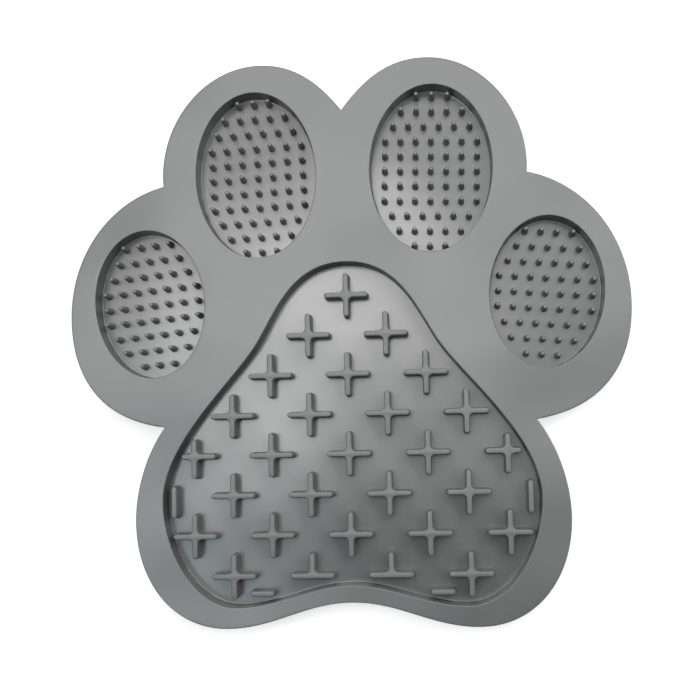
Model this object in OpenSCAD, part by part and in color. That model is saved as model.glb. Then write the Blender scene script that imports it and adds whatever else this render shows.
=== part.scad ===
// Paw shaped lick mat: one soft moulding with four studded toe pockets, a palm pocket with
// plus shaped ridges, and suction cups under the pocket floors. Toes point to +Y, the mat
// stands on the plane Z = 0 and is centred on the Z axis.

/* [Mat] */
// Overall width across the two outer toes
mat_w = 211; // [180:1:250]
// Overall length from the inner toe tips to the heel
mat_l = 213; // [180:1:250]
// Depth of every pocket below the deck
pocket_depth = 8; // [6:0.5:12]
// Thickness of the pocket floors
floor_t = 2; // [1.5:0.1:3]
// Clear height under the pocket floors, which the suction cups fill
foot_h = 3.5; // [3:0.1:5]
// Rounding of the deck along the outer edge
edge_r = 0.7; // [0.3:0.1:1]
// Rounding along the bottom of the outer edge
sole_r = 0.5; // [0.3:0.1:1]
// Lean of the outer wall in degrees, so the mat leaves its mould
outer_draft = 1.5; // [0.5:0.5:3]

/* [Pockets] */
// Lean of the pocket walls in degrees
pocket_draft = 1.5; // [0.5:0.5:6]
// Rounding of the pocket lip at the deck
lip_r = 0.3; // [0.2:0.1:1]
// Rounding where a pocket wall runs into its floor
floor_r = 0.3; // [0.2:0.1:1.2]
// Outward turn of the inner toes in degrees
inner_turn = 2.2; // [0:0.2:5]
// Outward turn of the outer toes in degrees
outer_turn = 5.2; // [2:0.2:8]

/* [Studs] */
// Width of a stud at the pocket floor
stud_base_d = 2.6; // [1.8:0.1:3.2]
// Width of a stud just under its round tip
stud_tip_d = 1.5; // [0.8:0.1:1.7]

/* [Ridges] */
// Width of a ridge at its flat top
ridge_w = 2.4; // [1.6:0.1:3]
// Rounding in the four inner corners of a plus shaped ridge
ridge_corner_r = 1.3; // [0.6:0.1:2]
// Length of the two upright bars beside the palm
side_bar_l = 12.4; // [9:0.1:14]
// Length of the two level bars at the heel
heel_bar_l = 9.4; // [6:0.1:11]

/* [Suction cups] */
// Width of a cup at its lip
cup_d = 28; // [20:0.5:30]
// Width of the pad that joins a cup to its floor
cup_pad_d = 14; // [8:0.5:16]
// Thickness of the lip of a cup
cup_lip_t = 0.6; // [0.4:0.1:0.9]
// Rise of the hollow inside a cup
cup_hollow_h = 1.7; // [1:0.1:2]

/* [Hidden] */
half_w = mat_w / 2;
half_l = mat_l / 2;
floor_z = foot_h + floor_t;
deck_z = floor_z + pocket_depth;

// How far a cutting shape runs past the face that it cuts
overrun = pocket_depth / 8;

// Fineness of the round parts
$fa = 6;
$fs = 0.25;

// Points along one curve of an outline, steps round a toe pocket, steps in a rounding
curve_steps = 13;
palm_steps = 15;
toe_steps = 60;
round_steps = 3;
arc_steps = 6;

// Outer edge of the right half, toe notch to heel: curves with two handles each, as shares
// of the half width and half length
outline_shares = [
  [[0, 0.822], [0.075, 0.921], [0.164, 1], [0.301, 1]],
  [[0.301, 1], [0.514, 1], [0.675, 0.786], [0.655, 0.57]],
  [[0.655, 0.57], [0.848, 0.526], [1, 0.343], [1, 0.105]],
  [[1, 0.105], [1, -0.108], [0.895, -0.266], [0.658, -0.297]],
  [[0.658, -0.297], [0.729, -0.388], [0.766, -0.519], [0.766, -0.624]],
  [[0.766, -0.624], [0.766, -0.838], [0.634, -1], [0.441, -1]],
  [[0.441, -1], [0.273, -1], [0.167, -0.914], [0, -0.914]]
];

// Lip of the palm pocket, right half, top to heel, in the same shares
palm_shares = [
  [[0, 0.272], [0.21, 0.272], [0.261, 0.068], [0.34, -0.037]],
  [[0.34, -0.037], [0.435, -0.165], [0.665, -0.366], [0.665, -0.559]],
  [[0.665, -0.559], [0.665, -0.722], [0.563, -0.925], [0.402, -0.925]],
  [[0.402, -0.925], [0.264, -0.925], [0.137, -0.852], [0, -0.852]]
];

// Middle of the palm pocket, as a share of the half length
palm_mid_share = -0.45;

// Toe pockets: middle and half sizes, as shares of the half width and half length
inner_at_share = [0.315, 0.597];
inner_size_share = [0.218, 0.3];
outer_at_share = [0.707, 0.145];
outer_size_share = [0.199, 0.265];

// Studs in each row, toe tip first
inner_rows = [3, 5, 6, 7, 7, 7, 7, 7, 6, 5, 3];
outer_rows = [4, 5, 6, 7, 7, 7, 6, 5, 3];

// Distance between studs and between rows, as shares of the mat width and length
stud_pitch_share = 0.0276;
stud_row_share = 0.0271;
// Height of studs and ridges as shares of the pocket depth
stud_h_share = 0.8;
ridge_h_share = 0.86;

// Plus shaped ridges in each row, top first, the last full row number and their spacing
plus_rows = [1, 2, 3, 4, 5, 4, 5, 4];
plus_first_share = 0.1566;
plus_pitch_share = 0.1385;
plus_row_share = 0.0698;
plus_span_share = 0.0802;
// Row whose end ridges give way to the pocket wall, and what is left of their outer and
// upper arms
short_row = 4;
short_arm_share = 0.6;
short_up_share = 0.78;

// Middles of the short bars, as shares of the half width and half length
side_bar_share = [0.628, -0.56];
heel_bar_share = [0.316, -0.88];

// Middles of the cups under the palm, as shares of the half width and half length
palm_cup_shares = [[0, 0.05], [0.25, -0.24], [0.43, -0.65], [0, -0.6]];

// Cups are moulded with the mat and only as high as the space under the floors
cup_r = min(cup_d / 2, half_w * outer_size_share[0] * 0.8);
cup_pad_r = min(cup_pad_d / 2, cup_r * 0.6);
cup_pad_h = foot_h * 0.12;
cup_hollow = min(cup_hollow_h, foot_h * 0.55);
lip_w = cup_lip_t * 1.2;

mat_color = [0.56, 0.57, 0.57];
floor_color = [0.6, 0.61, 0.61];
ridge_color = [0.62, 0.63, 0.63];
stud_color = [0.5, 0.51, 0.51];
cup_color = [0.66, 0.67, 0.67];

function unit(v) = v / norm(v);
function left_of(v) = [-v[1], v[0]];
function scaled(p) = [p[0] * half_w, p[1] * half_l];
function mirrored(p) = [-p[0], p[1]];

// Point and direction on a curve with two handles
function curve_at(c, t) =
  pow(1 - t, 3) * c[0] + 3 * pow(1 - t, 2) * t * c[1] + 3 * (1 - t) * t * t * c[2]
  + pow(t, 3) * c[3];
function curve_dir(c, t) =
  pow(1 - t, 2) * (c[1] - c[0]) + 2 * (1 - t) * t * (c[2] - c[1]) + t * t * (c[3] - c[2]);

// Outward direction at a corner between two outward directions, long enough that moving
// along it by d moves both edges by d
function miter(a, b) = (a + b) / (1 + a * b);

// Right half of an outline as [point, outward direction]
function half_outline(curves, steps) =
  let (
    cs = [for (c = curves) [for (p = c) scaled(p)]],
    last = len(cs) - 1
  )
  concat(
    [for (k = [0:last], i = [0:steps - 1])
      let (
        n = left_of(unit(curve_dir(cs[k], i / steps))),
        before = i > 0 ? n
          : k > 0 ? left_of(unit(curve_dir(cs[k - 1], 1)))
          : mirrored(n)
      )
      [curve_at(cs[k], i / steps), miter(before, n)]],
    [[curve_at(cs[last], 1), [0, -1]]]
  );

// Whole outline, clockwise from above
function whole_outline(half) =
  concat(half, [for (i = [len(half) - 2:-1:1]) [mirrored(half[i][0]), mirrored(half[i][1])]]);

body_line = whole_outline(half_outline(outline_shares, curve_steps));
palm_line = whole_outline(half_outline(palm_shares, palm_steps));

// Outline of a toe pocket about its own middle, clockwise from above
function toe_line(size) =
  let (a = half_w * size[0], b = half_l * size[1])
  [for (i = [0:toe_steps - 1])
    let (t = -360 * i / toe_steps)
    [[a * cos(t), b * sin(t)], unit([b * cos(t), a * sin(t)])]];

inner_line = toe_line(inner_size_share);
outer_line = toe_line(outer_size_share);

// An outline drawn in by an amount and set at a height
function ring(line, inset, z) =
  [for (p = line) [p[0][0] - p[1][0] * inset, p[0][1] - p[1][1] * inset, z]];

// Solid through rings, lowest first, closed from a middle point at each end
module loft(line, steps, mid) {
  n = len(line);
  m = len(steps);
  points = concat(
    [for (s = steps) each ring(line, s[0], s[1])],
    [[mid[0], mid[1], steps[0][1]], [mid[0], mid[1], steps[m - 1][1]]]
  );
  sides = [for (k = [0:m - 2], i = [0:n - 1])
    let (j = (i + 1) % n)
    each [[k * n + i, k * n + j, (k + 1) * n + j], [k * n + i, (k + 1) * n + j, (k + 1) * n + i]]];
  bottom = [for (i = [0:n - 1]) [n * m, (i + 1) % n, i]];
  top = [for (i = [0:n - 1]) [n * m + 1, (m - 1) * n + i, (m - 1) * n + (i + 1) % n]];
  polyhedron(points = points, faces = concat(sides, bottom, top));
}

// Steps as [inset, height] for the outside of the mat
wall_top_in = deck_z * tan(outer_draft);
body_steps = concat(
  [for (i = [0:2]) let (a = 45 * i) [sole_r * (1 - sin(a)), sole_r * (1 - cos(a))]],
  [for (i = [0:round_steps]) let (a = 90 * i / round_steps)
    [wall_top_in + edge_r * (1 - cos(a)), deck_z - edge_r * (1 - sin(a))]]
);

// Steps for a pocket, lowest first: hole that the floor fills, floor rounding, leaning wall,
// lip rounding, overrun
wall_foot_in = (pocket_depth - floor_r - lip_r) * tan(pocket_draft);
hole_in = wall_foot_in + floor_r;
pocket_steps = concat(
  [[hole_in, -overrun]],
  [for (i = [round_steps:-1:0]) let (a = 90 * i / round_steps)
    [wall_foot_in + floor_r * (1 - cos(a)), floor_z + floor_r * (1 - sin(a))]],
  [for (i = [0:round_steps]) let (a = 90 * i / round_steps)
    [-lip_r * (1 - cos(a)), deck_z - lip_r * (1 - sin(a))]],
  [[-lip_r, deck_z + overrun]]
);

// Steps for a pocket floor, which fills its hole above the space for the cups
floor_steps = [[hole_in, foot_h], [hole_in, floor_z]];

module at_toe(at, turn, side) {
  translate([side * half_w * at[0], half_l * at[1], 0]) rotate([0, 0, -side * turn]) children();
}

// The raised deck with the walls of all five pockets
module mat_body() {
  color(mat_color)
  difference() {
    loft(body_line, body_steps, [0, 0]);
    loft(palm_line, pocket_steps, [0, half_l * palm_mid_share]);
    for (side = [-1, 1]) {
      at_toe(inner_at_share, inner_turn, side) loft(inner_line, pocket_steps, [0, 0]);
      at_toe(outer_at_share, outer_turn, side) loft(outer_line, pocket_steps, [0, 0]);
    }
  }
}

module palm_floor() {
  color(floor_color) loft(palm_line, floor_steps, [0, half_l * palm_mid_share]);
}

module outer_left_floor() {
  color(floor_color) at_toe(outer_at_share, outer_turn, -1) loft(outer_line, floor_steps, [0, 0]);
}

module inner_left_floor() {
  color(floor_color) at_toe(inner_at_share, inner_turn, -1) loft(inner_line, floor_steps, [0, 0]);
}

module inner_right_floor() {
  color(floor_color) at_toe(inner_at_share, inner_turn, 1) loft(inner_line, floor_steps, [0, 0]);
}

module outer_right_floor() {
  color(floor_color) at_toe(outer_at_share, outer_turn, 1) loft(outer_line, floor_steps, [0, 0]);
}

// One stud: a slim cone with a round tip
stud_h = pocket_depth * stud_h_share;
stud_tip_r = stud_tip_d / 2;
stud_tip_h = stud_tip_r * 0.8;
module stud() {
  rotate_extrude()
    polygon(concat(
      [[0, 0], [stud_base_d / 2, 0]],
      [for (i = [0:3]) let (a = 90 * i / 4)
        [stud_tip_r * cos(a), stud_h - stud_tip_h * (1 - sin(a))]],
      [[0, stud_h]]
    ));
}

// Rows of studs about a toe middle, each row centred, so an even row sits half a step over
module stud_rows(rows) {
  pitch = mat_w * stud_pitch_share;
  step = mat_l * stud_row_share;
  for (r = [0:len(rows) - 1])
    for (i = [0:rows[r] - 1])
      translate([(i - (rows[r] - 1) / 2) * pitch, ((len(rows) - 1) / 2 - r) * step, floor_z])
        stud();
}

module outer_left_studs() {
  color(stud_color) at_toe(outer_at_share, outer_turn, -1) stud_rows(outer_rows);
}

module inner_left_studs() {
  color(stud_color) at_toe(inner_at_share, inner_turn, -1) stud_rows(inner_rows);
}

module inner_right_studs() {
  color(stud_color) at_toe(inner_at_share, inner_turn, 1) stud_rows(inner_rows);
}

module outer_right_studs() {
  color(stud_color) at_toe(outer_at_share, outer_turn, 1) stud_rows(outer_rows);
}

// Outline of a plus with a round end on each arm and round inner corners. Arms are given as
// shares of a full arm in the order right, up, left, down; an arm of none leaves a flat side
ridge_h = pocket_depth * ridge_h_share;
ridge_r = ridge_w / 2;
arm = mat_w * plus_span_share / 2;

function turned(p, a) = [p[0] * cos(a) - p[1] * sin(a), p[0] * sin(a) + p[1] * cos(a)];
function arm_end(reach) =
  [for (i = [0:arc_steps]) let (a = -90 + 180 * i / arc_steps)
    [reach - ridge_r + ridge_r * cos(a), ridge_r * sin(a)]];
function corner() =
  [for (i = [1:3]) let (a = 270 - 90 * i / 4)
    [ridge_r + ridge_corner_r * (1 + cos(a)), ridge_r + ridge_corner_r * (1 + sin(a))]];
function corner_line(first, second) =
  let (foot = ridge_r + ridge_corner_r)
  first > 0 && second > 0 ? concat([[foot, ridge_r]], corner(), [[ridge_r, foot]])
  : first > 0 ? [[ridge_r, ridge_r]]
  : [[ridge_r, ridge_r]];

function plus_line(arms) =
  [for (k = [0:3])
    let (a = 90 * k, here = arms[k], next = arms[(k + 1) % 4])
    each concat(
      here > 0 ? [for (p = arm_end(arm * here)) turned(p, a)] : [],
      here > 0 && next > 0 ? [for (p = corner_line(here, next)) turned(p, a)] : []
    )];

module plus_ridge(arms) {
  linear_extrude(height = ridge_h) polygon(plus_line(arms));
}

module palm_ridges() {
  pitch = mat_w * plus_pitch_share;
  step = mat_l * plus_row_share;
  last = len(plus_rows) - 1;
  color(ridge_color)
  for (r = [0:last])
    for (i = [0:plus_rows[r] - 1]) {
      n = plus_rows[r];
      right = r == short_row && i == n - 1 ? short_arm_share : 1;
      left = r == short_row && i == 0 ? short_arm_share : 1;
      up = r == short_row && (i == 0 || i == n - 1) ? short_up_share : 1;
      down = r == last && i > 0 && i < n - 1 ? 0 : 1;
      translate([(i - (n - 1) / 2) * pitch, half_l * plus_first_share - r * step, floor_z])
        plus_ridge([right, up, left, down]);
    }
}

// A straight bar with round ends along X
function bar_line(length) =
  concat(arm_end(length / 2), [for (p = arm_end(length / 2)) -p]);

module bar(length) {
  linear_extrude(height = ridge_h) polygon(bar_line(length));
}

module palm_bars() {
  color(ridge_color)
  for (side = [-1, 1]) {
    translate([side * half_w * side_bar_share[0], half_l * side_bar_share[1], floor_z])
      rotate([0, 0, 90]) bar(side_bar_l);
    translate([side * half_w * heel_bar_share[0], half_l * heel_bar_share[1], floor_z])
      bar(heel_bar_l);
  }
}

// One suction cup: a pad that meets the floor above it, a sloping skirt and a thin lip
module cup() {
  color(cup_color)
  rotate_extrude()
    polygon(concat(
      [[0, foot_h], [0, cup_hollow]],
      [for (i = [1:arc_steps]) let (a = 90 * i / arc_steps)
        [(cup_r - lip_w) * sin(a), cup_hollow * cos(a)]],
      [
        [cup_r, 0],
        [cup_r, cup_lip_t],
        [cup_pad_r, foot_h - cup_pad_h],
        [cup_pad_r, foot_h]
      ]
    ));
}

module palm_cup(k, side) {
  translate([side * half_w * palm_cup_shares[k][0], half_l * palm_cup_shares[k][1], 0]) cup();
}

module cup_outer_left_toe() {
  at_toe(outer_at_share, outer_turn, -1) cup();
}

module cup_inner_left_toe() {
  at_toe(inner_at_share, inner_turn, -1) cup();
}

module cup_inner_right_toe() {
  at_toe(inner_at_share, inner_turn, 1) cup();
}

module cup_outer_right_toe() {
  at_toe(outer_at_share, outer_turn, 1) cup();
}

module cup_palm_top() {
  palm_cup(0, 1);
}

module cup_palm_left() {
  palm_cup(1, -1);
}

module cup_palm_right() {
  palm_cup(1, 1);
}

module cup_palm_middle() {
  palm_cup(3, 1);
}

module cup_heel_left() {
  palm_cup(2, -1);
}

module cup_heel_right() {
  palm_cup(2, 1);
}

// Which sub-part is drawn

mat_body();
palm_floor();
outer_left_floor();
inner_left_floor();
inner_right_floor();
outer_right_floor();
outer_left_studs();
inner_left_studs();
inner_right_studs();
outer_right_studs();
palm_ridges();
palm_bars();
cup_outer_left_toe();
cup_inner_left_toe();
cup_inner_right_toe();
cup_outer_right_toe();
cup_palm_top();
cup_palm_left();
cup_palm_right();
cup_palm_middle();
cup_heel_left();
cup_heel_right();
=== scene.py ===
"""Looks for the paw shaped silicone lick mat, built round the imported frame. Metres, toes to +Y."""
import math
import random

import bmesh
import bpy
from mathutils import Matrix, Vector


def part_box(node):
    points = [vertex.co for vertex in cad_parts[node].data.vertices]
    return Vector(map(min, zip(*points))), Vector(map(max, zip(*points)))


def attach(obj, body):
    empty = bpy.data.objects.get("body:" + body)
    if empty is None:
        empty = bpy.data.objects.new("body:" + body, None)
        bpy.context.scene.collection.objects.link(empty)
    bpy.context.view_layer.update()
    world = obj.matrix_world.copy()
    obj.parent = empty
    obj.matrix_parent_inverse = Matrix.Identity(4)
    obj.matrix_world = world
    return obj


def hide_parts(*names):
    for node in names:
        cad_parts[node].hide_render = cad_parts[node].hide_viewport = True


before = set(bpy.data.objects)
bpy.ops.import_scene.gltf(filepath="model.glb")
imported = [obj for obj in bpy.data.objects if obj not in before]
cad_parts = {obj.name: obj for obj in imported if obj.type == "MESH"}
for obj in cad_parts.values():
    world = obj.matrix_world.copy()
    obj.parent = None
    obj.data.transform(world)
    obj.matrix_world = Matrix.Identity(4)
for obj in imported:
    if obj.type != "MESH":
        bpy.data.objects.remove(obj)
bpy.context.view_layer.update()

MM = 0.001

# Sizes that the solids give
body_low, body_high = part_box("mat_body")
stud_low, stud_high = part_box("inner_left_studs")
HALF_W = (body_high[0] - body_low[0]) / 2
HALF_L = (body_high[1] - body_low[1]) / 2
DECK_Z = body_high[2]
FLOOR_Z = stud_low[2]
STUD_TOP_Z = stud_high[2]
RIDGE_TOP_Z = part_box("palm_ridges")[1][2]
UNDERSIDE_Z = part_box("cup_palm_top")[1][2]

# Roundings and drafts of the moulding
EDGE_R = 0.45 * MM
SOLE_R = 0.5 * MM
LIP_R = 0.3 * MM
FLOOR_R = 0.3 * MM
OUTER_DRAFT_IN = 0.35 * MM
POCKET_DRAFT = 1.5  # degrees
WALL_FOOT_IN = (DECK_Z - FLOOR_Z - FLOOR_R - LIP_R) * math.tan(math.radians(POCKET_DRAFT))
UNDER_IN = WALL_FOOT_IN + FLOOR_R
UNDER_R = UNDERSIDE_Z / 4
UNDER_DRAFT_IN = 0.02 * MM

# Bands of faces kept along the edges, so that the roundings shade cleanly
RIM_BAND = 1.2 * MM
FLOOR_BAND = 0.4 * MM

# Sizes of the studs
STUD_BASE_R = 1.3 * MM
STUD_TIP_R = 0.75 * MM
STUD_TIP_ROUND = 0.3 * MM
STUD_SIDES = 12
STUD_PITCH = 0.0276 * 2 * HALF_W
STUD_ROW = 0.0271 * 2 * HALF_L
STUD_LEAN = 1.2  # degrees
STUD_SPIN = 360 / STUD_SIDES  # degrees
STUD_SEED = 7

# How far studs, ridges and bars stand in the floor
SINK = 0.05 * MM

# Sizes and places of the ridges and bars
RIDGE_R = 1.28 * MM
RIDGE_CORNER_R = 1.3 * MM
RIDGE_END_R = 0.96 * RIDGE_R
RIDGE_TAPER_IN = 0.15 * MM
RIDGE_TOP_R = 0.4 * MM
PLUS_ROWS = (1, 2, 3, 4, 5, 4, 5, 4)
PLUS_FIRST = 0.1566 * HALF_L
PLUS_PITCH = 0.1385 * 2 * HALF_W
PLUS_ROW = 0.0698 * 2 * HALF_L
PLUS_ARM = 0.0802 * HALF_W
SHORT_ROW = 4
SHORT_OUT_SHARE = 0.6
SHORT_UP_SHARE = 0.78
SIDE_BAR_ARM = 6.2 * MM
SIDE_BAR_AT = (0.628, -0.56)
HEEL_BAR_ARM = 4.7 * MM
HEEL_BAR_AT = (0.316, -0.88)

# Outlines, as shares of the half width and half length, right half from the top down
# The numbers are those of the solids, which come from a least squares fit to edges in the
# photograph and weren't chosen by hand
OUTLINE = [
    [(0, 0.822), (0.075, 0.921), (0.164, 1), (0.301, 1)],
    [(0.301, 1), (0.514, 1), (0.675, 0.786), (0.655, 0.57)],
    [(0.655, 0.57), (0.848, 0.526), (1, 0.343), (1, 0.105)],
    [(1, 0.105), (1, -0.108), (0.895, -0.266), (0.658, -0.297)],
    [(0.658, -0.297), (0.729, -0.388), (0.766, -0.519), (0.766, -0.624)],
    [(0.766, -0.624), (0.766, -0.838), (0.634, -1), (0.441, -1)],
    [(0.441, -1), (0.273, -1), (0.167, -0.914), (0, -0.914)],
]
PALM = [
    [(0, 0.272), (0.21, 0.272), (0.261, 0.068), (0.34, -0.037)],
    [(0.34, -0.037), (0.435, -0.165), (0.665, -0.366), (0.665, -0.559)],
    [(0.665, -0.559), (0.665, -0.722), (0.563, -0.925), (0.402, -0.925)],
    [(0.402, -0.925), (0.264, -0.925), (0.137, -0.852), (0, -0.852)],
]
TOES = {
    "inner": {"at": (0.315, 0.597), "size": (0.218, 0.3), "turn": 2.2,
              "rows": (3, 5, 6, 7, 7, 7, 7, 7, 6, 5, 3)},
    "outer": {"at": (0.707, 0.145), "size": (0.199, 0.265), "turn": 5.2,
              "rows": (4, 5, 6, 7, 7, 7, 6, 5, 3)},
}
OUTLINE_STEPS = 40
PALM_STEPS = 48
TOE_STEPS = 176

# Limits for picking edges and points
LEVEL_SLACK = 0.02 * MM
MERGE_DISTANCE = 0.002 * MM
CORNER_ANGLE = math.radians(40)
SHARP_ANGLE = 1  # radians
RIM_REACH = 4 * MM
POCKET_REACH = 2 * MM
PALM_REACH = 3 * MM
JUST_UNDER = 0.99
JUST_OVER = 1.01


def share(point):
    return point[0] * HALF_W, point[1] * HALF_L


# Modelling helpers
def leave_edit():
    if bpy.context.object and bpy.context.object.mode != "OBJECT":
        bpy.ops.object.mode_set(mode="OBJECT")
    bpy.ops.object.select_all(action="DESELECT")


def activate(obj, others=()):
    leave_edit()
    for o in (obj, *others):
        o.select_set(True)
    bpy.context.view_layer.objects.active = obj


def join(pieces, name):
    activate(pieces[0], pieces[1:])
    bpy.ops.object.join()
    piece = bpy.context.object
    piece.name = name
    return piece


def apply_place():
    bpy.ops.object.transform_apply(location=True, rotation=True, scale=True)


def edit(obj, kind="EDGE"):
    activate(obj)
    bpy.ops.object.mode_set(mode="EDIT")
    bpy.ops.mesh.select_mode(type=kind)
    bpy.ops.mesh.select_all(action="DESELECT")
    return bmesh.from_edit_mesh(obj.data)


def pick(bm, obj, items, test):
    """Select the points, edges or faces that pass a test, and nothing else."""
    bpy.ops.mesh.select_all(action="DESELECT")
    for item in items:
        if test(item):
            item.select_set(True)
    bm.select_flush_mode()
    bmesh.update_edit_mesh(obj.data)


def bevel(radius, segments, kind="EDGES", clamp=False):
    bpy.ops.mesh.bevel(offset=radius, segments=segments, affect=kind, clamp_overlap=clamp)


def round_inwards(radius, steps, rise):
    """Insets along a quarter circle, from upright to level. Rise is 1 upwards, -1 downwards."""
    for i in range(steps):
        a, b = (math.pi / 2 * k / steps for k in (i, i + 1))
        bpy.ops.mesh.inset(thickness=radius * (math.cos(a) - math.cos(b)),
                           depth=rise * radius * (math.sin(b) - math.sin(a)),
                           use_even_offset=True)


def at_height(edge, z):
    return all(abs(v.co.z - z) < LEVEL_SLACK for v in edge.verts)


def flip_up(bm):
    """Turn the selected faces over if the first face of the mesh looks down."""
    bm.faces.ensure_lookup_table()
    if bm.faces[0].normal.z < 0:
        bpy.ops.mesh.flip_normals()


def face_up(obj):
    """Turn a lone face so that it looks up, and leave it selected."""
    bm = edit(obj, "FACE")
    bpy.ops.mesh.select_all(action="SELECT")
    flip_up(bm)


def finish_mesh(obj, smooth=32):
    edit(obj)
    bpy.ops.mesh.select_all(action="SELECT")
    bpy.ops.mesh.remove_doubles(threshold=MERGE_DISTANCE)
    bpy.ops.mesh.normals_make_consistent(inside=False)
    activate(obj)
    bpy.ops.object.shade_smooth_by_angle(angle=math.radians(smooth))


# Outlines
def curve_loop(name, half, z, steps):
    """Closed edge loop from the curves of a right half outline and their mirror image."""
    right = [[share(p) for p in c] for c in half]
    left = [[(-p[0], p[1]) for p in reversed(c)] for c in reversed(right)]
    curves = right + left
    leave_edit()
    bpy.ops.curve.primitive_bezier_circle_add(radius=HALF_W)
    obj = bpy.context.object
    obj.name = name
    obj.data.dimensions = "3D"
    obj.data.resolution_u = steps
    points = obj.data.splines[0].bezier_points
    points.add(len(curves) - len(points))
    for point, here, before in zip(points, curves, curves[-1:] + curves[:-1]):
        point.handle_left_type = point.handle_right_type = "FREE"
        point.co = (*here[0], z)
        point.handle_right = (*here[1], z)
        point.handle_left = (*before[2], z)
    bpy.ops.object.convert(target="MESH")
    return bpy.context.object


def toe_face(name, toe, side, z):
    """Oval face of a toe pocket at a height."""
    leave_edit()
    x, y = share(toe["at"])
    a, b = share(toe["size"])
    bpy.ops.mesh.primitive_circle_add(
        vertices=TOE_STEPS, radius=1, fill_type="NGON", location=(side * x, y, z),
        rotation=(0, 0, math.radians(-side * toe["turn"])))
    obj = bpy.context.object
    obj.name = name
    obj.scale = (a, b, 1)
    apply_place()
    face_up(obj)
    return obj


def palm_face(name, z):
    """Face of the palm pocket at a height."""
    obj = curve_loop(name, PALM, z, PALM_STEPS)
    edit(obj)
    bpy.ops.mesh.select_all(action="SELECT")
    bpy.ops.mesh.edge_face_add()
    face_up(obj)
    return obj


# The moulding: deck, pockets, outer wall and sole
def sink_pocket(obj):
    """From the lip face down: leaning wall, floor rounding, floor."""
    bpy.ops.mesh.inset(thickness=WALL_FOOT_IN, depth=-(DECK_Z - FLOOR_Z - FLOOR_R),
                       use_even_offset=True)
    round_inwards(FLOOR_R, 5, -1)
    bpy.ops.mesh.inset(thickness=FLOOR_BAND, depth=0, use_even_offset=True)
    leave_edit()
    return obj


def raise_under(obj):
    """The space under a floor: starts inside the lip line and ends under the floor."""
    bpy.ops.mesh.inset(thickness=UNDER_IN, depth=0, use_even_offset=True)
    bpy.ops.mesh.select_all(action="INVERT")
    bpy.ops.mesh.delete(type="FACE")
    bpy.ops.mesh.select_all(action="SELECT")
    bpy.ops.mesh.inset(thickness=UNDER_DRAFT_IN, depth=UNDERSIDE_Z - UNDER_R,
                       use_even_offset=True)
    round_inwards(UNDER_R, 3, 1)
    leave_edit()
    return obj


def near_pocket(point):
    """Is a point in or next to a pocket? Tells pocket edges from the outer edge."""
    x, y = abs(point[0]), point[1]
    for toe in TOES.values():
        cx, cy = share(toe["at"])
        a, b = share(toe["size"])
        if math.hypot((x - cx) / (a + POCKET_REACH), (y - cy) / (b + POCKET_REACH)) < 1:
            return True
    palm = [share(curve[0]) for curve in PALM] + [share(PALM[-1][-1])]
    for (x0, y0), (x1, y1) in zip(palm, palm[1:]):
        if (min(y0, y1) - POCKET_REACH < y < max(y0, y1) + POCKET_REACH
                and x < max(x0, x1) + PALM_REACH):
            return True
    return False


def outer_wall():
    """The leaning outer wall, from the sole up to the deck."""
    wall = curve_loop("mat_moulding", OUTLINE, 0, OUTLINE_STEPS)
    edit(wall)
    bpy.ops.mesh.select_all(action="SELECT")
    bpy.ops.mesh.extrude_edges_move(TRANSFORM_OT_translate={"value": (0, 0, DECK_Z)})
    narrow = 1 - OUTER_DRAFT_IN / HALF_W
    bpy.ops.transform.resize(value=(narrow, narrow, 1), center_override=(0, 0, 0))
    leave_edit()
    return wall


def round_edges(body):
    """Round the outer edge of the deck, then the lips of the pockets, then the sole."""
    bm = bmesh.from_edit_mesh(body.data)
    rim_points = [v.co.to_tuple() for v in bm.verts if abs(v.co.z) < LEVEL_SLACK / 2
                  and any(e.calc_face_angle(0) > SHARP_ANGLE for e in v.link_edges
                          if len(e.link_faces) == 2)]
    rim_points = [p for p in rim_points if not near_pocket(p)]

    def corner(edge, z):
        return (at_height(edge, z) and len(edge.link_faces) == 2
                and edge.calc_face_angle(0) > CORNER_ANGLE)

    def on_rim(edge):
        x, y = (sum(v.co[k] for v in edge.verts) / 2 for k in (0, 1))
        return any(abs(x - p[0]) + abs(y - p[1]) < RIM_REACH for p in rim_points)

    pick(bm, body, bm.edges, lambda e: corner(e, DECK_Z) and on_rim(e))
    bevel(EDGE_R, 4)
    bm = bmesh.from_edit_mesh(body.data)
    pick(bm, body, bm.edges, lambda e: corner(e, DECK_Z))
    bevel(LIP_R, 4)
    bm = bmesh.from_edit_mesh(body.data)
    pick(bm, body, bm.edges, lambda e: corner(e, 0))
    bevel(SOLE_R, 3)


def build_body():
    wall = outer_wall()
    tubs = [sink_pocket(palm_face("palm_tub", DECK_Z))]
    unders = [raise_under(palm_face("palm_under", 0))]
    for name, toe in TOES.items():
        for side in (-1, 1):
            tubs.append(sink_pocket(toe_face(name + "_tub", toe, side, DECK_Z)))
            unders.append(raise_under(toe_face(name + "_under", toe, side, 0)))
    body = join([wall, *tubs, *unders], "mat_moulding")

    bm = edit(body)
    for z in (DECK_Z, 0):
        pick(bm, body, bm.edges, lambda e: e.is_boundary and at_height(e, z))
        bpy.ops.mesh.fill(use_beauty=True)
        bpy.ops.mesh.inset(thickness=RIM_BAND, depth=0, use_boundary=True, use_even_offset=True)
        bm = bmesh.from_edit_mesh(body.data)
    bpy.ops.mesh.select_all(action="SELECT")
    bpy.ops.mesh.normals_make_consistent(inside=False)
    round_edges(body)
    finish_mesh(body)
    bpy.ops.object.modifier_add(type="WEIGHTED_NORMAL")
    body.modifiers[-1].keep_sharp = True
    bpy.ops.object.modifier_apply(modifier=body.modifiers[-1].name)
    return body


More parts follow.
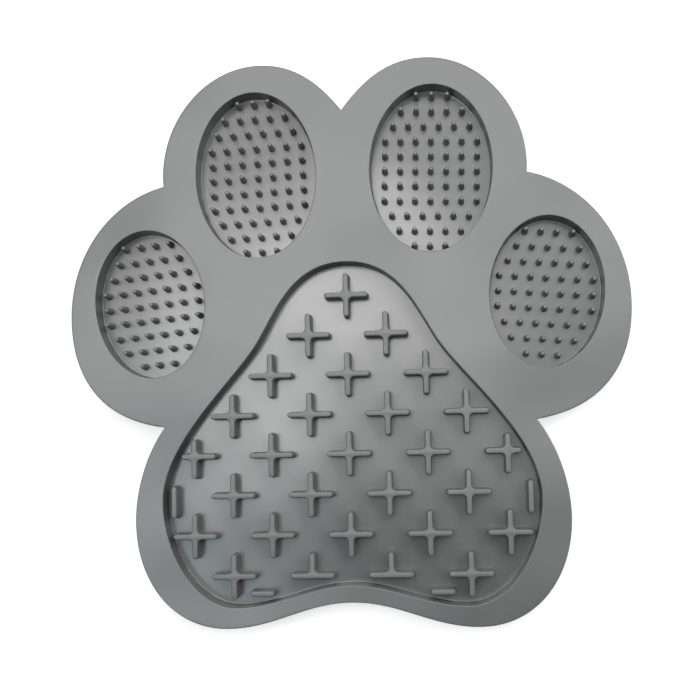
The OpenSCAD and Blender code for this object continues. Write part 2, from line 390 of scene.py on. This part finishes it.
# Studs
def build_stud():
    """One stud, standing on the origin: wide root, slim cone, round tip."""
    leave_edit()
    height = STUD_TOP_Z - FLOOR_Z
    bpy.ops.mesh.primitive_cone_add(
        vertices=STUD_SIDES, radius1=STUD_BASE_R, radius2=STUD_TIP_R, depth=height,
        end_fill_type="NGON", location=(0, 0, height / 2))
    stud = bpy.context.object
    apply_place()
    bm = edit(stud)
    pick(bm, stud, bm.edges, lambda e: at_height(e, height))
    bevel(STUD_TIP_ROUND, 2)
    finish_mesh(stud, smooth=60)
    return stud


def build_studs(name, toe, side, stud, draw):
    """The rows of one toe, joined to one piece. Soft studs never stand quite straight."""
    cx, cy = share(toe["at"])
    turn = math.radians(-side * toe["turn"])
    rows = toe["rows"]
    copies = []
    for r, n in enumerate(rows):
        for i in range(n):
            x = (i - (n - 1) / 2) * STUD_PITCH
            y = ((len(rows) - 1) / 2 - r) * STUD_ROW
            copy = stud.copy()
            copy.data = stud.data.copy()
            bpy.context.collection.objects.link(copy)
            copy.location = (side * cx + x * math.cos(turn) - y * math.sin(turn),
                             cy + x * math.sin(turn) + y * math.cos(turn),
                             FLOOR_Z - SINK)
            copy.rotation_euler = (math.radians(draw.uniform(-STUD_LEAN, STUD_LEAN)),
                                   math.radians(draw.uniform(-STUD_LEAN, STUD_LEAN)),
                                   math.radians(draw.uniform(0, STUD_SPIN)))
            copies.append(copy)
    piece = join(copies, name)
    apply_place()
    return piece


# Ridges and bars
def arm_directions(arms):
    """Reach and direction of each arm that there is, from arms to the right, up, left, down."""
    for k, reach in enumerate(arms):
        if reach:
            angle = math.pi / 2 * k
            yield reach, Vector((math.cos(angle), math.sin(angle), 0))


def on_arm(point, out, reach):
    """Is a point at or past a reach along an arm, and within the arm's width?"""
    return point.dot(out) > reach * JUST_UNDER and abs(point.cross(out).z) < RIDGE_R * JUST_OVER


def build_ridge(name, arms, at, turn=0):
    """A plus or bar with round ends: arms as lengths to the right, up, left and down."""
    leave_edit()
    bpy.ops.mesh.primitive_plane_add(size=2 * RIDGE_R)
    ridge = bpy.context.object
    ridge.name = name
    for reach, out in arm_directions(arms):
        bm = edit(ridge)
        pick(bm, ridge, bm.edges, lambda e: all(on_arm(v.co, out, RIDGE_R) for v in e.verts))
        bpy.ops.mesh.extrude_edges_move(
            TRANSFORM_OT_translate={"value": out * (reach - RIDGE_R)})

    bm = edit(ridge, "VERT")
    pick(bm, ridge, bm.verts, lambda v: len(v.link_faces) == 3)
    if any(v.select for v in bm.verts):
        bevel(RIDGE_CORNER_R, 5, "VERTICES", clamp=True)
        bm = bmesh.from_edit_mesh(ridge.data)
    pick(bm, ridge, bm.verts, lambda v: len(v.link_faces) == 1
         and any(on_arm(v.co, out, reach) for reach, out in arm_directions(arms)))
    bevel(RIDGE_END_R, 6, "VERTICES")

    bpy.ops.mesh.select_mode(type="FACE")
    bpy.ops.mesh.select_all(action="SELECT")
    bpy.ops.mesh.normals_make_consistent(inside=False)
    flip_up(bmesh.from_edit_mesh(ridge.data))
    bpy.ops.mesh.dissolve_faces()
    # A foot that is sunk into the floor, then two tapering steps up to the top
    bpy.ops.mesh.extrude_region_move(TRANSFORM_OT_translate={"value": (0, 0, 0)})
    bpy.ops.transform.translate(value=(0, 0, SINK))
    for _ in range(2):
        bpy.ops.mesh.inset(thickness=RIDGE_TAPER_IN, depth=(RIDGE_TOP_Z - FLOOR_Z) / 2,
                           use_even_offset=True)
    bm = bmesh.from_edit_mesh(ridge.data)
    top = max(v.co.z for v in bm.verts)
    bpy.ops.mesh.select_mode(type="EDGE")
    pick(bm, ridge, bm.edges, lambda e: at_height(e, top))
    bevel(RIDGE_TOP_R, 4)
    leave_edit()
    ridge.location = (*at, FLOOR_Z - SINK)
    ridge.rotation_euler = (0, 0, math.radians(turn))
    activate(ridge)
    apply_place()
    finish_mesh(ridge, smooth=50)
    return ridge


def build_palm_ridges():
    """Rows of plus shapes. The lowest row has no lower arms between its ends."""
    full = PLUS_ARM
    pieces = []
    for r, n in enumerate(PLUS_ROWS):
        for i in range(n):
            right = up = left = down = full
            if r == SHORT_ROW and i == n - 1:
                right, up = SHORT_OUT_SHARE * full, SHORT_UP_SHARE * full
            if r == SHORT_ROW and i == 0:
                left, up = SHORT_OUT_SHARE * full, SHORT_UP_SHARE * full
            if r == len(PLUS_ROWS) - 1 and 0 < i < n - 1:
                down = 0
            at = ((i - (n - 1) / 2) * PLUS_PITCH, PLUS_FIRST - r * PLUS_ROW)
            pieces.append(build_ridge("plus", (right, up, left, down), at))
    return join(pieces, "palm_plus_ridges")


def build_palm_bars():
    """An upright bar at each side of the palm and a level one on each side of the heel."""
    pieces = []
    for side in (-1, 1):
        x, y = share(SIDE_BAR_AT)
        pieces.append(build_ridge("bar", (SIDE_BAR_ARM, 0, SIDE_BAR_ARM, 0), (side * x, y), 90))
        x, y = share(HEEL_BAR_AT)
        pieces.append(build_ridge("bar", (HEEL_BAR_ARM, 0, HEEL_BAR_ARM, 0), (side * x, y)))
    return join(pieces, "palm_short_bars")


# Materials
MAT_DARK, MAT_LIGHT = (0.122, 0.126, 0.126), (0.138, 0.142, 0.142)
CUP_DARK, CUP_LIGHT = (0.14, 0.144, 0.144), (0.16, 0.164, 0.164)
DECK_ROUGH = (0.36, 0.41)
POCKET_ROUGH = (0.22, 0.26)
RIDGE_ROUGH = (0.46, 0.51)
CUP_ROUGH = (0.3, 0.38)
SILICONE_IOR = 1.6
CLOUD_SCALE = 14.0
SHEEN_SCALE = 45.0
GRAIN_SCALE = 1900.0
GRAIN_HEIGHT = 0.02 * MM
GRAIN_STRENGTH = 0.25
WAVE_SCALE = 14.0
SMALL_WAVE = 1 * MM
DECK_WAVE = 6.5 * MM
FLOOR_WAVE = 2 * MM
# Found by a search for the noise whose waves follow the photograph's changes of tone best
DECK_WAVE_AT = (0.346, 0.227, 0.29)
FLOOR_WAVE_AT = (-0.661, 0.094, 0)
# Depths under the deck between which the deck's finish gives way to the pockets'
POLISH_FROM, POLISH_TO = 0.6 * MM, 1.5 * MM
# Upward share of a normal: a wall below the first, a floor above the second
WALL_NORMAL, FLOOR_NORMAL = 0.5, 0.95
# Places of the vector sockets on a Mix node
MIX_VECTOR_A, MIX_VECTOR_B, MIX_VECTOR_RESULT = 4, 5, 1


def new_material(name):
    mat = bpy.data.materials.new(name)
    mat.use_nodes = True
    tree = mat.node_tree
    tree.nodes.clear()
    out = tree.nodes.new("ShaderNodeOutputMaterial")
    return mat, tree, out


def node(tree, kind, **values):
    n = tree.nodes.new(kind)
    for key, value in values.items():
        if hasattr(n, key):
            setattr(n, key, value)
        else:
            n.inputs[key].default_value = value
    return n


def remap(tree, value, span_from, span_to):
    """Value mapped from one span to another."""
    n = node(tree, "ShaderNodeMapRange")
    n.inputs["From Min"].default_value, n.inputs["From Max"].default_value = span_from
    n.inputs["To Min"].default_value, n.inputs["To Max"].default_value = span_to
    tree.links.new(value, n.inputs["Value"])
    return n.outputs["Result"]


def along_z(tree, vector):
    parts = node(tree, "ShaderNodeSeparateXYZ")
    tree.links.new(vector, parts.inputs["Vector"])
    return parts.outputs["Z"]


def slow_wave(tree, coord, start, height):
    """Normals of the slow waves that a soft sheet keeps; start is where the noise is read from."""
    at = node(tree, "ShaderNodeVectorMath", operation="ADD")
    at.inputs[1].default_value = start
    tree.links.new(coord.outputs["Object"], at.inputs[0])
    slow = node(tree, "ShaderNodeTexNoise", Scale=WAVE_SCALE, Detail=1.0)
    tree.links.new(at.outputs["Vector"], slow.inputs["Vector"])
    bump = node(tree, "ShaderNodeBump", Strength=1.0, Distance=height)
    tree.links.new(slow.outputs["Fac"], bump.inputs["Height"])
    return bump.outputs["Normal"]


def silicone(name, dark, light, rough, pocket_rough=None, wave=SMALL_WAVE):
    """Satin moulded silicone: cloudy grey, fine mould grain and a slow wave.

    Pocket floors come off a polished mould face, so they can have a roughness and a wave of
    their own. The walls of the pockets are as satin as the deck.
    """
    mat, tree, out = new_material(name)
    link = tree.links.new
    bsdf = node(tree, "ShaderNodeBsdfPrincipled")
    bsdf.inputs["IOR"].default_value = SILICONE_IOR
    bsdf.inputs["Specular IOR Level"].default_value = 1.0
    coord = node(tree, "ShaderNodeTexCoord")

    cloud = node(tree, "ShaderNodeTexNoise", Scale=CLOUD_SCALE, Detail=3.0, Roughness=0.55)
    link(coord.outputs["Object"], cloud.inputs["Vector"])
    ramp = node(tree, "ShaderNodeValToRGB")
    for stop, place, colour in zip(ramp.color_ramp.elements, (0.3, 0.7), (dark, light)):
        stop.position = place
        stop.color = (*colour, 1)
    link(cloud.outputs["Fac"], ramp.inputs["Fac"])
    link(ramp.outputs["Color"], bsdf.inputs["Base Color"])

    sheen = node(tree, "ShaderNodeTexNoise", Scale=SHEEN_SCALE, Detail=2.0)
    link(coord.outputs["Object"], sheen.inputs["Vector"])
    roughness = remap(tree, sheen.outputs["Fac"], (0, 1), rough)
    normal = slow_wave(tree, coord, DECK_WAVE_AT, wave)
    if pocket_rough:
        on_deck = remap(tree, along_z(tree, coord.outputs["Object"]),
                        (DECK_Z - POLISH_TO, DECK_Z - POLISH_FROM), (0, 1))
        on_wall = remap(tree, along_z(tree, coord.outputs["Normal"]),
                        (WALL_NORMAL, FLOOR_NORMAL), (1, 0))
        satin = node(tree, "ShaderNodeMath", operation="MAXIMUM")
        link(on_deck, satin.inputs[0])
        link(on_wall, satin.inputs[1])
        blend = node(tree, "ShaderNodeMix")
        link(satin.outputs["Value"], blend.inputs["Factor"])
        link(remap(tree, sheen.outputs["Fac"], (0, 1), pocket_rough), blend.inputs["A"])
        link(roughness, blend.inputs["B"])
        roughness = blend.outputs["Result"]
        lean = node(tree, "ShaderNodeMix", data_type="VECTOR")
        link(on_deck, lean.inputs["Factor"])
        link(slow_wave(tree, coord, FLOOR_WAVE_AT, FLOOR_WAVE), lean.inputs[MIX_VECTOR_A])
        link(normal, lean.inputs[MIX_VECTOR_B])
        normal = lean.outputs[MIX_VECTOR_RESULT]
    link(roughness, bsdf.inputs["Roughness"])

    grain = node(tree, "ShaderNodeTexNoise", Scale=GRAIN_SCALE, Detail=2.0)
    link(coord.outputs["Object"], grain.inputs["Vector"])
    grain_bump = node(tree, "ShaderNodeBump", Strength=GRAIN_STRENGTH, Distance=GRAIN_HEIGHT)
    link(grain.outputs["Fac"], grain_bump.inputs["Height"])
    link(normal, grain_bump.inputs["Normal"])
    link(grain_bump.outputs["Normal"], bsdf.inputs["Normal"])
    link(bsdf.outputs["BSDF"], out.inputs["Surface"])
    return mat


def give(obj, mat):
    obj.data.materials.clear()
    obj.data.materials.append(mat)


# Camera: where the photograph was taken from, by a fit to the photograph
CAMERA_AT = (33.64 * MM, -35.99 * MM, 421.72 * MM)
CAMERA_TURN = (4.682, 4.988, -1.3)  # degrees
SENSOR_W = 36
LENS = 57.85
CLIP_START = 0.01

camera = bpy.data.objects.new("camera", bpy.data.cameras.new("camera"))
bpy.context.collection.objects.link(camera)
camera.data.sensor_width = SENSOR_W
camera.data.lens = LENS
camera.data.clip_start = CLIP_START
camera.location = CAMERA_AT
camera.rotation_euler = tuple(math.radians(a) for a in CAMERA_TURN)
bpy.context.scene.camera = camera

# Pieces
mat_grey = silicone("grey silicone", MAT_DARK, MAT_LIGHT, DECK_ROUGH,
                    pocket_rough=POCKET_ROUGH, wave=DECK_WAVE)
ridge_grey = silicone("grey silicone on ridges", MAT_DARK, MAT_LIGHT, RIDGE_ROUGH)
stud_grey = silicone("grey silicone on studs", MAT_DARK, MAT_LIGHT, RIDGE_ROUGH)
cup_grey = silicone("grey silicone on cups", CUP_DARK, CUP_LIGHT, CUP_ROUGH)

body = build_body()
give(body, mat_grey)
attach(body, "root")
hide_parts("mat_body", "palm_floor", "outer_left_floor", "inner_left_floor",
            "inner_right_floor", "outer_right_floor")

draw = random.Random(STUD_SEED)
stud = build_stud()
for name, toe in TOES.items():
    for side, word in ((-1, "left"), (1, "right")):
        studs = build_studs(f"{name}_{word}_toe_studs", toe, side, stud, draw)
        give(studs, stud_grey)
        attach(studs, "root")
        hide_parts(f"{name}_{word}_studs")
bpy.data.objects.remove(stud, do_unlink=True)

for piece, solid in ((build_palm_ridges(), "palm_ridges"), (build_palm_bars(), "palm_bars")):
    give(piece, ridge_grey)
    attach(piece, "root")
    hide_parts(solid)

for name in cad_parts:
    if name.startswith("cup_"):
        give(bpy.data.objects[name], cup_grey)

# White table, world and lamps
WHITE = (1, 1, 1, 1)
TABLE_SIZE = 8
TABLE_DROP = 0.2 * MM
TABLE_WHITE = (0.82, 0.82, 0.82, 1)
GLOW_REACH = (0.2, 0.5)
GLOW = (0.6, 1)
ROOM_LIGHT = 0.01


def for_camera(tree, lit, seen):
    """Mix of two shaders: the first lights the scene, and the camera sees the second."""
    rays = node(tree, "ShaderNodeLightPath")
    either = node(tree, "ShaderNodeMixShader")
    tree.links.new(rays.outputs["Is Camera Ray"], either.inputs["Fac"])
    tree.links.new(lit.outputs[0], either.inputs[1])
    tree.links.new(seen.outputs[0], either.inputs[2])
    return either.outputs[0]


def white_table():
    """White that glows to the camera: weaker near the mat, so that its shadow shows."""
    mat, tree, out = new_material("white table")
    diffuse = node(tree, "ShaderNodeBsdfDiffuse", Color=TABLE_WHITE)
    glow = node(tree, "ShaderNodeEmission", Color=WHITE)
    place = node(tree, "ShaderNodeTexCoord")
    away = node(tree, "ShaderNodeVectorMath", operation="LENGTH")
    tree.links.new(place.outputs["Object"], away.inputs[0])
    tree.links.new(remap(tree, away.outputs["Value"], GLOW_REACH, GLOW), glow.inputs["Strength"])
    bright = node(tree, "ShaderNodeAddShader")
    tree.links.new(diffuse.outputs[0], bright.inputs[0])
    tree.links.new(glow.outputs[0], bright.inputs[1])
    tree.links.new(for_camera(tree, diffuse, bright), out.inputs["Surface"])
    return mat


leave_edit()
bpy.ops.mesh.primitive_plane_add(size=TABLE_SIZE, location=(0, 0, -TABLE_DROP))
floor = bpy.context.object
floor.name = "floor"
give(floor, white_table())

world = bpy.data.worlds.new("studio")
bpy.context.scene.world = world
world.use_nodes = True
tree = world.node_tree
tree.nodes.clear()
room = node(tree, "ShaderNodeBackground", Color=WHITE, Strength=ROOM_LIGHT)
backdrop = node(tree, "ShaderNodeBackground", Color=WHITE, Strength=1)
sky = node(tree, "ShaderNodeOutputWorld")
tree.links.new(for_camera(tree, room, backdrop), sky.inputs["Surface"])

# A ceiling of separate panels, and panels for the walls and windows round it. Most of the powers
# and colours come from a least squares fit to the photograph's tones and weren't chosen by hand.
# Name, place, size, power and colour of each square panel
LAMPS = [
    ("ceiling, near left", (-0.33, -0.26, 0.9), 0.2, 0.437, (0.76, 0.98, 1)),
    ("ceiling, left", (-0.23, 0, 0.9), 0.16, 0.469, (0.98, 1, 1)),
    ("ceiling, left end", (-0.45, 0.1, 0.9), 0.2, 0.181, (1, 0.94, 0.95)),
    ("ceiling, middle left", (-0.23, 0.16, 0.9), 0.16, 0.312, (1, 0.97, 0.98)),
    ("ceiling, middle", (-0.07, 0.16, 0.9), 0.16, 0.43, (1, 0.98, 0.99)),
    ("ceiling, far left", (-0.23, 0.48, 0.9), 0.36, 0.678, (1, 0.96, 0.96)),
    ("ceiling, wide", (0.09, 0.16, 0.9), 0.48, 1.03, (1, 1, 1)),
    ("wall, left", (-0.616, 0, 0.788), 0.35, 1.11, (0.98, 1, 0.99)),
    ("wall, far", (0, 0.616, 0.788), 0.35, 0.82, (1, 0.97, 0.97)),
    ("wall, far right", (0.435, 0.435, 0.788), 0.35, 2.38, (1, 0.96, 0.97)),
    ("wall, right", (0.616, 0, 0.788), 0.35, 1.35, (0.98, 1, 1)),
    ("window, near right", (0.813, -0.345, 0.469), 0.35, 0.32, (1, 1, 1)),
    ("window, right", (0.819, 0.331, 0.469), 0.35, 1.32, (0.86, 1, 1)),
    ("window, far", (-0.331, 0.819, 0.469), 0.35, 2.28, (0.94, 1, 1)),
]
for name, at, size, power, colour in LAMPS:
    panel = bpy.data.lights.new(name, "AREA")
    panel.size = size
    panel.energy = power
    panel.color = colour
    lamp = bpy.data.objects.new(name, panel)
    bpy.context.collection.objects.link(lamp)
    lamp.location = at
    lamp.rotation_euler = (-Vector(at)).to_track_quat("-Z", "Y").to_euler()

bpy.context.scene.view_settings.view_transform = "Standard"
